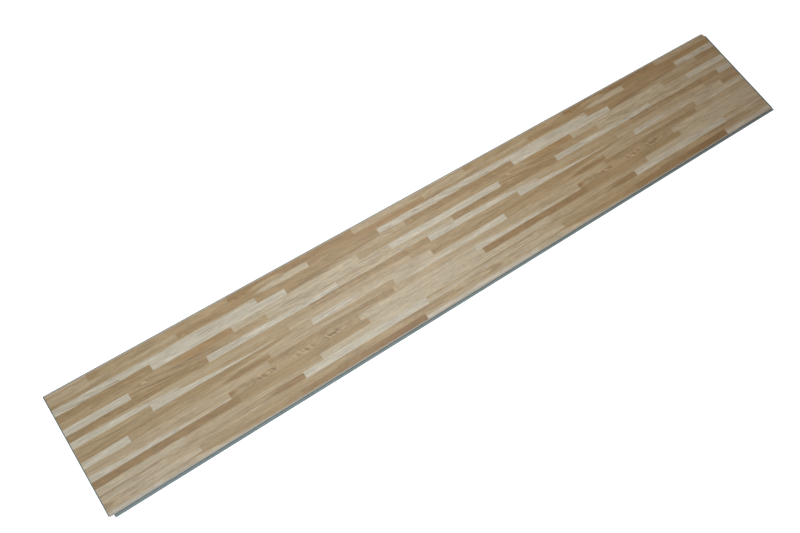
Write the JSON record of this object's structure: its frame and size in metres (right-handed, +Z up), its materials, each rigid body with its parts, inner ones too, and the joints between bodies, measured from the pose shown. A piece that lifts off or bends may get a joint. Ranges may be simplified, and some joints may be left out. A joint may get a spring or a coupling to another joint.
{
  "type": "vinyl click plank",
  "caption": "Flat vinyl flooring plank with a wood-stave print and milled click edges, a tongue on two sides and a grooved locking lip on the other two.",
  "frame": {"origin": "on the underside, below the centre of the face", "axes": "+X along the plank towards the end with the lip, +Y across it towards the long edge with the tongue, +Z up out of the printed face"},
  "size_m": [1.2263, 0.1853, 0.0042],
  "materials": {
    "vinyl": "matt wood print in small staves under a clear wear layer, blue-grey filled vinyl on the milled edges and the underside"
  },
  "bodies": {
    "root": {"plank": "vinyl"}
  },
  "joints": []
}
